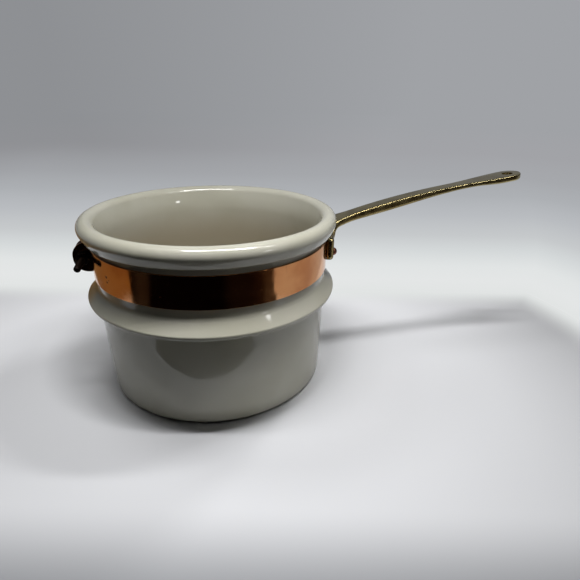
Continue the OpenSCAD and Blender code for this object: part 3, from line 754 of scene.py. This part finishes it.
# %% Thread the screw
THREAD_PITCH, THREAD_STEPS = 0.7, 20
THREAD_IN, THREAD_OUT = 1.55, 2.0
start = HEAD_SEAT + 1.3
thread = bmesh.new()
corners = [thread.verts.new(c) for c in ((THREAD_IN, 0, start), (THREAD_OUT, 0, start + 0.3),
    (THREAD_OUT, 0, start + 0.4), (THREAD_IN, 0, start + 0.65))]
thread.faces.new(corners)
turns = int((SCREW_END - 0.9 - start) / THREAD_PITCH)
bmesh.ops.spin(thread, geom=thread.verts[:] + thread.edges[:] + thread.faces[:], cent=(0, 0, 0),
    axis=(0, 0, 1), dvec=(0, 0, THREAD_PITCH / THREAD_STEPS), angle=math.tau * turns,
    steps=THREAD_STEPS * turns, use_duplicate=False)
bmesh.ops.recalc_face_normals(thread, faces=thread.faces)
threaded = bpy.data.meshes.new("thread")
thread.to_mesh(threaded)
thread.free()
bm.from_mesh(threaded)
to_screw = Matrix.Translation((SCREW_X, 0, SCREW_Z)) @ Matrix.Rotation(math.pi / 2, 4, "X")
bmesh.ops.transform(bm, verts=bm.verts, matrix=to_screw)
piece(bm, "machine_screw", black, "pan", "clamp_screw")
print(turns, "turns of thread")

# %% [markdown]
# ## Washer and nut
# Both are right as solids, but a stamped washer and a milled nut have broken edges. A copy of
# the solid's mesh is merged, its flat faces are joined, and its sharp edges are bevelled.


# %% Break the edges of the washer and the nut
def broken_edges(node, offset):
    """A bmesh in millimetres of a solid, with its edges sharper than 28 degrees bevelled."""
    bm = bmesh.new()
    bm.from_mesh(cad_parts[node].data)
    bmesh.ops.scale(bm, vec=(1000, 1000, 1000), verts=bm.verts)
    bmesh.ops.remove_doubles(bm, verts=bm.verts, dist=0.001)
    bmesh.ops.dissolve_limit(bm, angle_limit=math.radians(1), verts=bm.verts, edges=bm.edges)
    sharp = [e for e in bm.edges if len(e.link_faces) == 2 and e.calc_face_angle() > math.radians(28)]
    bmesh.ops.bevel(bm, geom=sharp, offset=offset, affect="EDGES", segments=2, profile=0.5, material=-1)
    print(node, "open edges", sum(e.is_boundary for e in bm.edges))
    return bm


piece(broken_edges("clamp_washer", 0.1), "plain_washer", black, "washer", "clamp_washer")
piece(broken_edges("clamp_nut", 0.08), "hexagon_nut", black, "nut", "clamp_nut")

# %% [markdown]
# ## The stage
# The pan stands on pale paper in a small photo box that is open at the front. Places on the
# stage are measured sideways and deep, across and along the camera's line from the pan's axis,
# because the box was square to the camera and the pan wasn't.

# %% Place things on the stage
FRONT = Vector((math.sin(YAW), math.cos(YAW), 0))
SIDEWAYS = Vector((math.cos(YAW), -math.sin(YAW), 0))
UPWARDS = Vector((0, 0, 1))


def placed(place, facing):
    """A matrix at (sideways, deep, height) in mm, whose own -Z looks along facing."""
    back = -(SIDEWAYS * facing[0] + FRONT * facing[1] + UPWARDS * facing[2]).normalized()
    along = FRONT if abs(facing[0]) > 0.9 else SIDEWAYS
    along = (along - back * along.dot(back)).normalized()
    spot = (SIDEWAYS * place[0] + FRONT * place[1] + UPWARDS * place[2]) * MM
    return Matrix.Translation(spot) @ Matrix((along, back.cross(along), back)).transposed().to_4x4()


def stage_mesh(name, bm, material, matrix):
    """A stage object, which is not part of the pan."""
    mesh = bpy.data.meshes.new(name)
    bm.to_mesh(mesh)
    bm.free()
    mesh.materials.append(material)
    obj = bpy.data.objects.new(name, mesh)
    obj.matrix_world = matrix
    bpy.context.scene.collection.objects.link(obj)
    return obj


print("camera's line", FRONT, "and across it", SIDEWAYS)

# %% [markdown]
# ## Paper near the pan
# Matt white paper gives an even pale field and soft shadows. Near the pan it is an ordinary
# surface, so that it keeps the pan's shadow. The photograph shows it a shade darker towards the
# camera, where the sheet runs out of the lamps' reach, so its colour falls off there.

# %% Finish: matt white paper
LIP = (-178, -128)
paper, tree, surface, mm = new_finish("matt_white_paper", Roughness=0.9, Specular_IOR_Level=0.1)
depth = add(tree, "VectorMath", {0: mm, 1: tuple(FRONT)}, operation="DOT_PRODUCT")
lip = add(tree, "MapRange", {0: depth, 1: LIP[0], 2: LIP[1], 3: 1, 4: 0}, **SOFT)
white = add(tree, "Mix", {0: lip, 6: linear("#e4e5e8"), 7: linear("#9a9ca0")}, **COLOUR)
feed(tree, surface, {"Base Color": white})
print("paper nodes", len(tree.nodes))

# %% [markdown]
# ## Paper far from the pan
# Behind the pan the real paper curves up and away from the lamps, and it fades to grey. The
# sheet here stays flat, so its look by depth is a colour ramp that only the eye and mirrors see.
# The box is darker on its left, which side_shade gives from the direction sideways.


# %% The paper's fade by depth
def side_shade(tree, direction):
    """A factor from the direction sideways: the box is darker on its left."""
    aside = add(tree, "VectorMath", {0: direction, 1: tuple(SIDEWAYS)}, operation="DOT_PRODUCT")
    return add(tree, "MapRange", {0: aside, 1: -0.45, 2: 0.25, 3: 0.77, 4: 1})


def set_stops(ramp, stops):
    """Gives a colour ramp its stops, each (position, hex colour)."""
    elements = ramp.color_ramp.elements
    while len(elements) < len(stops):
        elements.new(0.5)
    for element, (position, colour) in zip(elements, stops):
        element.position, element.color = position, linear(colour)


# Depth behind the pan's axis in mm, and the paper's look there
FADE = ((85, "#dcdedd"), (110, "#e0e3e2"), (150, "#e4e6e6"), (195, "#e1e4e4"), (250, "#d4d8d9"),
    (313, "#c6c9cb"), (425, "#b9bcc0"), (580, "#adb0b4"), (790, "#a6a8ac"), (1250, "#a2a3a7"),
    (2600, "#a0a2a6"))
# Seen from other sides the paper fades too, from farther out
ROUND_START = 190
FADE_LONG = FADE[-1][0]
away = add(tree, "VectorMath", {0: mm}, operation="LENGTH")
away = add(tree, "Math", {0: away, 1: ROUND_START}, operation="SUBTRACT")
far = add(tree, "Math", {0: depth, 1: away}, operation="MAXIMUM")
share = add(tree, "MapRange", {0: far, 1: 0, 2: FADE_LONG})
fade = add(tree, "ValToRGB", {0: share})
set_stops(fade, [(distance / FADE_LONG, colour) for distance, colour in FADE])
print("fade stops", len(fade.color_ramp.elements))

# %% [markdown]
# Light Path tells a shader what looks at it. The fade takes over from the lit paper between 85
# and 125 mm behind the pan's axis, for the camera and for mirrors, and never for the light that
# the paper throws on the pan.

# %% Blend the near and the far paper
rays = add(tree, "LightPath").outputs
sideways = side_shade(tree, add(tree, "VectorMath", {0: mm}, operation="NORMALIZE"))
out = add(tree, "MapRange", {0: far, 1: 400, 2: 1500}, **SOFT)
dimming = add(tree, "Mix", {0: out, 2: 1.0, 3: sideways}, data_type="FLOAT")
glow = add(tree, "Emission", {"Color": fade, "Strength": dimming})
looked_at = add(tree, "Math", {0: rays["Is Camera Ray"], 1: rays["Is Glossy Ray"]}, operation="MAXIMUM")
beginning = add(tree, "MapRange", {0: far, 1: 85, 2: 125}, **SOFT)
seen_far = add(tree, "Math", {0: beginning, 1: looked_at}, operation="MULTIPLY")
lit = add(tree, "MixShader", {0: seen_far, 1: surface, 2: glow})
print("paper nodes", len(tree.nodes))

# %% [markdown]
# ## The dark room in front
# Beyond the box's open front the room is dark, and the polished band shows it as a black field
# with a few dim shapes. The paper's disc runs on under the camera for the eye, and for mirrors
# it turns into that room, with a look by angle round the pan.

# %% The room that mirrors see
OPEN_FRONT = (-114, -112)
# Angle round the pan in degrees, and the room's look there
ROOM = ((-180, "#0a0705"), (-165, "#0c0806"), (-157, "#2a2723"), (-150, "#2a2723"), (-146, "#050303"),
    (-90, "#030202"), (-82, "#120d0a"), (-66, "#150f0c"), (-57, "#231a14"), (-52, "#3c352c"),
    (-45, "#40382e"))
angle = add(tree, "TexGradient", {0: mm}, gradient_type="RADIAL").outputs["Fac"]
dim = add(tree, "ValToRGB", {0: angle})
set_stops(dim, [(degrees / 360 + 0.5, colour) for degrees, colour in ROOM])
dark = add(tree, "Emission", {"Color": dim, "Strength": 1.0})
unseen = add(tree, "Math", {0: 1.0, 1: rays["Is Camera Ray"]}, operation="SUBTRACT")
outside = add(tree, "MapRange", {0: depth, 1: OPEN_FRONT[0], 2: OPEN_FRONT[1], 3: 1, 4: 0}, **SOFT)
room = add(tree, "Math", {0: outside, 1: unseen}, operation="MULTIPLY")
mixed = add(tree, "MixShader", {0: room, 1: lit, 2: dark})
feed(tree, tree.nodes["Material Output"], {"Surface": mixed})
print("room stops", len(dim.color_ramp.elements))

# %% [markdown]
# The paper is one wide disc, so that it is there from every side. It lies a fifth of a
# millimetre below the pan's base, which keeps the two from flickering into each other.

# %% Lay the paper
PAPER_R, PAPER_Z = 4000, -0.2
bm = bmesh.new()
bmesh.ops.create_circle(bm, cap_ends=True, segments=96, radius=PAPER_R * MM)
sheet = stage_mesh("paper", bm, paper, Matrix.Translation((0, 0, PAPER_Z * MM)))
print("paper", sheet.dimensions)

# %% [markdown]
# ## Mirrored walls
# A polished band needs something to mirror. The box's two side walls and its back are cards that
# only mirrors see: they light nothing, and no camera sees them from any side.

# %% Stand up the cards
# Place (sideways, deep, height), facing, width, height, look
CARDS = {
    "left_card": ((-205, 83, 40), (1, 0, 0), 404, 80, "#83663e"),
    "right_card": ((205, 74, 25), (-1, 0, 0), 404, 50, "#beb8b2"),
    "back_card": ((100, 300, 240), (0, -1, 0), 700, 480, "#8e9094"),
}
for name, (place, facing, wide, high, colour) in CARDS.items():
    finish = bpy.data.materials.new(name)
    finish.use_nodes = True
    tree = finish.node_tree
    glow = add(tree, "Emission", {"Color": linear(colour), "Strength": 1.0})
    feed(tree, tree.nodes["Material Output"], {"Surface": glow})
    bm = bmesh.new()
    bmesh.ops.create_grid(bm, x_segments=1, y_segments=1, size=0.5)
    bmesh.ops.scale(bm, vec=(wide * MM, high * MM, 1), verts=bm.verts)
    card = stage_mesh(name, bm, finish, placed(place, facing))
    card.visible_camera = card.visible_diffuse = card.visible_shadow = card.visible_transmission = False
print("cards", ", ".join(CARDS))

# %% [markdown]
# ## The lamps
# The paper and the pan are lit apart, by light linking, as a photographer flags a lamp off the
# table. The paper's lamps draw the shadows where the photograph has them. The pan's lamps are the
# long strips in the box's ceiling, and a polished rim shows them. One strip is for the handle,
# and a tube and a small lamp outside the box give the glaze its sharp highlights.

# %% List the lamps
DOWN = (0, 0, -1)
# Place (sideways, deep, height), facing, width, height, watts, seen by mirrors, and what it lights
LIGHTS = {
    "paper_front_right": ((34, -77, 397), DOWN, 68, 10, 0.52, False, "paper"),
    "paper_front": ((-34, -77, 397), DOWN, 68, 10, 0.26, False, "paper"),
    "paper_front_left": ((-102, -77, 397), DOWN, 68, 10, 0.09, False, "paper"),
    "paper_left": ((-137, 25, 397), DOWN, 137, 70, 0.38, False, "paper"),
    "paper_right": ((297, 323, 448), (-1, 0, 0), 154, 258, 2.0, False, "paper"),
    "paper_right_top": ((297, 51, 508), (-1, 0, 0), 102, 130, 0.32, False, "paper"),
    "paper_middle": ((150, 10, 397), DOWN, 110, 16, 0.52, False, "paper"),
    "ceiling": ((0, -60, 400), DOWN, 410, 50, 0.15, True, "pan"),
    "strip_right": ((105, -115, 397), DOWN, 120, 56, 0.88, True, "pan"),
    "strip_middle": ((-15, -117, 397), DOWN, 120, 56, 0.66, True, "pan"),
    "strip_end": ((185, -140, 397), DOWN, 40, 14, 0.10, True, "pan"),
    "strip_far": ((270, -118, 398), DOWN, 66, 44, 0.12, True, "pan"),
    "room": ((0, -500, 200), (0, 1, 0), 500, 200, 0.02, False, "pan"),
    "strip_handle": ((290, -95, 397), DOWN, 420, 24, 0.8, True, "handle"),
    "tube": ((60, -290, 330), (0, 0.7, -0.6), 280, 5, 0.018, True, "pan"),
    "lamp": ((321, -257, 157), (-0.8, 0.54, -0.25), 36, 36, 0.05, True, "pan"),
}
print(len(LIGHTS), "lamps,", round(sum(row[4] for row in LIGHTS.values()), 2), "watts")

# %% [markdown]
# A lamp's receiver collection names what it lights, or, where a member is excluded, what it
# leaves out. Its blocker collection says the same for shadows. The three lamps over the front
# take no shadow from the handle, because the photograph shows only one there, and the lamp over
# the middle draws it.

# %% Say what each lamp lights
REACH_OF = {}
for name, member in (("paper", sheet), ("pan", sheet), ("handle", handle), ("not_handle", handle)):
    group = bpy.data.collections.new("lit_" + name)
    group.objects.link(member)
    REACH_OF[name] = group
for name in ("pan", "not_handle"):
    REACH_OF[name].collection_objects[0].light_linking.link_state = "EXCLUDE"
print("light groups", ", ".join(REACH_OF))

# %% [markdown]
# Every lamp is an area lamp, because the box's lamps are strips behind paper. None of them is
# seen by the camera. Mirrors see the ceiling, the strips, the tube and the small lamp, because
# those are the highlights on the rim, and none of the others.

# %% Hang the lamps
for name, (place, facing, wide, high, power, mirrored, lights_what) in LIGHTS.items():
    data = bpy.data.lights.new(name, "AREA")
    data.shape, data.size, data.size_y, data.energy = "RECTANGLE", wide * MM, high * MM, power
    light = bpy.data.objects.new(name, data)
    light.matrix_world = placed(place, facing)
    light.visible_camera, light.visible_glossy = False, mirrored
    light.light_linking.receiver_collection = REACH_OF[lights_what]
    if name.startswith("paper_front"):
        light.light_linking.blocker_collection = REACH_OF["not_handle"]
    bpy.context.scene.collection.objects.link(light)
print("lamps", ", ".join(LIGHTS))

# %% [markdown]
# ## The world
# The world is the box's soft grey for the eye and for mirrors that look into the box. A mirror
# that looks out of the open front sees the dark room.

# %% Paint the world
INTO_BOX = (-0.55, -0.1)
ROOM_LIGHT, BOX_LIGHT = 0.004, 0.32
world = bpy.data.worlds.new("photo_box")
bpy.context.scene.world = world
world.use_nodes = True
tree = world.node_tree
direction = add(tree, "TexCoord").outputs["Generated"]
inward = add(tree, "VectorMath", {0: direction, 1: tuple(FRONT)}, operation="DOT_PRODUCT")
inward = add(tree, "MapRange", {0: inward, 1: INTO_BOX[0], 2: INTO_BOX[1], 3: ROOM_LIGHT,
    4: BOX_LIGHT}, **SOFT)
rays = add(tree, "LightPath").outputs
in_mirrors = add(tree, "Math", {0: inward, 1: rays["Is Glossy Ray"]}, operation="MULTIPLY")
strength = add(tree, "Mix", {0: rays["Is Camera Ray"], 2: in_mirrors, 3: side_shade(tree, direction)},
    data_type="FLOAT")
feed(tree, tree.nodes["Background"], {"Color": linear("#a0a2a6"), "Strength": strength})
print("world nodes", len(tree.nodes))
